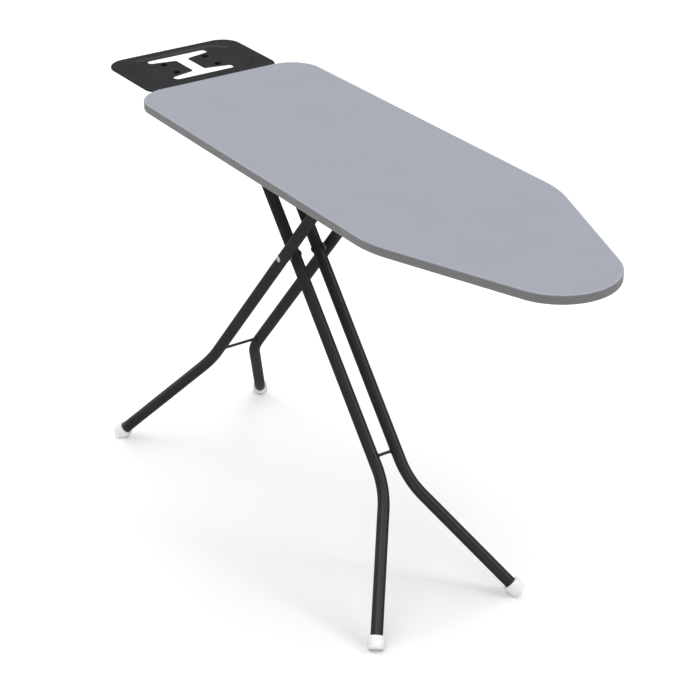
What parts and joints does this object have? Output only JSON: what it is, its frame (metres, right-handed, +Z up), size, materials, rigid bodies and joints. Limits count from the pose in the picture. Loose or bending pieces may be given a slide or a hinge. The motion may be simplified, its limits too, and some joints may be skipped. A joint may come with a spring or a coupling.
{
  "type": "ironing board",
  "caption": "Tapering padded ironing board with a pressed-metal iron rest at its square end, on a folding scissor stand of bent tube with plastic feet and a cam height lock.",
  "frame": {"origin": "centre of the bounding box at floor level, under the middle of the whole object", "axes": "+X towards the rounded nose of the board, -X towards the iron rest, +Y the left side seen from the iron rest, +Z up"},
  "size_m": [1.413, 0.4174, 0.87],
  "materials": {
    "cover_cotton": "fine plain weave",
    "felt": "needled felt",
    "cord": "braided",
    "fibreboard": "raw",
    "black_steel": "satin powder coat",
    "zinc": "bright zinc plate",
    "black_plastic": "fine grain",
    "white_plastic": "smooth"
  },
  "bodies": {
    "board": {"board_deck": "fibreboard", "board_pad": "felt", "board_cover": "cover_cotton", "cover_drawcord": "cord", "iron_rest_plate": "black_steel", "iron_rest_stud_1": "black_plastic", "iron_rest_stud_2": "black_plastic", "iron_rest_stud_3": "black_plastic", "iron_rest_stud_4": "black_plastic", "rest_arm_left": "black_steel", "rest_arm_right": "black_steel", "rest_arm_screw_1": "zinc", "rest_arm_screw_2": "zinc", "hinge_strap_left": "zinc", "hinge_strap_right": "zinc", "hinge_bush_left": "white_plastic", "hinge_bush_right": "white_plastic", "hinge_strap_screw_1": "zinc", "hinge_strap_screw_2": "zinc", "hinge_strap_screw_3": "zinc", "hinge_strap_screw_4": "zinc", "slide_rail_left": "zinc", "slide_rail_right": "zinc", "slide_rail_screw_1": "zinc", "slide_rail_screw_2": "zinc", "slide_rail_screw_3": "zinc", "slide_rail_screw_4": "zinc", "lock_strip": "zinc", "lock_strip_screw_1": "zinc", "lock_strip_screw_2": "zinc"},
    "inner_frame": {"inner_leg_left": "black_steel", "inner_leg_right": "black_steel", "inner_foot_cap_left": "white_plastic", "inner_foot_cap_right": "white_plastic", "inner_crossbar_plug_left": "black_plastic", "inner_crossbar_plug_right": "black_plastic", "inner_crossbar": "black_steel", "inner_stretcher": "black_steel"},
    "outer_frame": {"outer_leg_left": "black_steel", "outer_leg_right": "black_steel", "outer_foot_cap_left": "white_plastic", "outer_foot_cap_right": "white_plastic", "outer_leg_plug_left": "black_plastic", "outer_leg_plug_right": "black_plastic", "pivot_rivet_left": "zinc", "pivot_rivet_right": "zinc", "pivot_spacer_left": "zinc", "pivot_spacer_right": "zinc", "outer_cross_rod": "zinc", "outer_stretcher": "black_steel"},
    "slider": {"slide_block_left": "white_plastic", "slide_block_right": "white_plastic"},
    "lock_lever": {"lock_cam": "black_plastic", "lever_rod": "zinc", "lever_grip": "black_plastic", "lever_spring": "zinc"}
  },
  "joints": [
    {"name": "stand_fold", "type": "hinge", "parent": "board", "child": "inner_frame", "pos_m": [-0.36343, 0, 0.835], "axis": [0, -1, 0], "range_deg": [0, 45]},
    {"name": "scissor_pivot", "type": "hinge", "parent": "inner_frame", "child": "outer_frame", "pos_m": [-0.1675, 0, 0.6015], "axis": [0, 1, 0], "range_deg": [0, 90]},
    {"name": "slide_level", "type": "hinge", "parent": "outer_frame", "child": "slider", "pos_m": [0.02843, 0, 0.835], "axis": [0, -1, 0], "range_deg": [0, 45]},
    {"name": "lever_squeeze", "type": "hinge", "parent": "slider", "child": "lock_lever", "pos_m": [0.02843, 0, 0.835], "axis": [0, -1, 0], "range_deg": [0, 8], "stiffness_Nm_per_rad": 2, "springref_deg": -8.59}
  ],
  "couplings": [
    {"joint": "scissor_pivot", "follows": "stand_fold", "ratio": 2},
    {"joint": "slide_level", "follows": "stand_fold", "ratio": 1}
  ]
}
